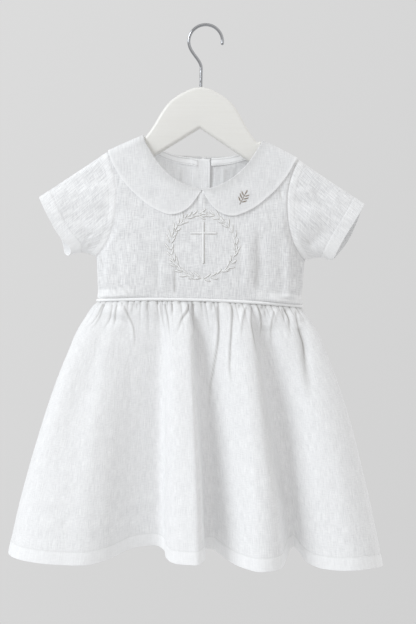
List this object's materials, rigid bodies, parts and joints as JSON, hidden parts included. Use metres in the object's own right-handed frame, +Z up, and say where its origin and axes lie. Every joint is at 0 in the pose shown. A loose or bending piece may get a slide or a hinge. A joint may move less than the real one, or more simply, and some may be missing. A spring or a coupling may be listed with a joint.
{
  "type": "christening gown on a hanger",
  "caption": "Short-sleeved linen christening gown with a round collar, piped waist and gathered skirt, hanging from a flat painted hanger by its wire hook.",
  "frame": {"origin": "the top of the inside of the hook's crown, where a rail carries the hanger", "axes": "+X to the right of the front view, +Y towards the gown's back, +Z up"},
  "size_m": [0.4107, 0.1554, 0.5895],
  "materials": {
    "linen": "plain-weave bleached linen with slubs, soft and matt",
    "piping": "linen bias strip drawn tight over a cord",
    "embroidery_white": "white satin stitch with a soft sheen",
    "embroidery_taupe": "taupe satin stitch with a soft sheen",
    "button": "pearly white button, glossy",
    "hanger_paint": "wood under warm white satin paint",
    "hook_steel": "bright plated steel wire"
  },
  "bodies": {
    "root": {"hanger_hook": "hook_steel", "hanger_body": "hanger_paint", "bodice_front": "linen", "bodice_back_left": "linen", "bodice_back_right": "linen", "button_stand": "linen", "neck_band_left": "linen", "neck_band_right": "linen", "button_1": "button", "button_2": "button", "button_3": "button", "button_4": "button", "sleeve_left": "linen", "sleeve_right": "linen", "collar_left": "linen", "collar_right": "linen", "waist_piping_front": "piping", "waist_piping_back_left": "piping", "waist_piping_back_right": "piping", "skirt_front": "linen", "skirt_back": "linen"}
  },
  "joints": []
}
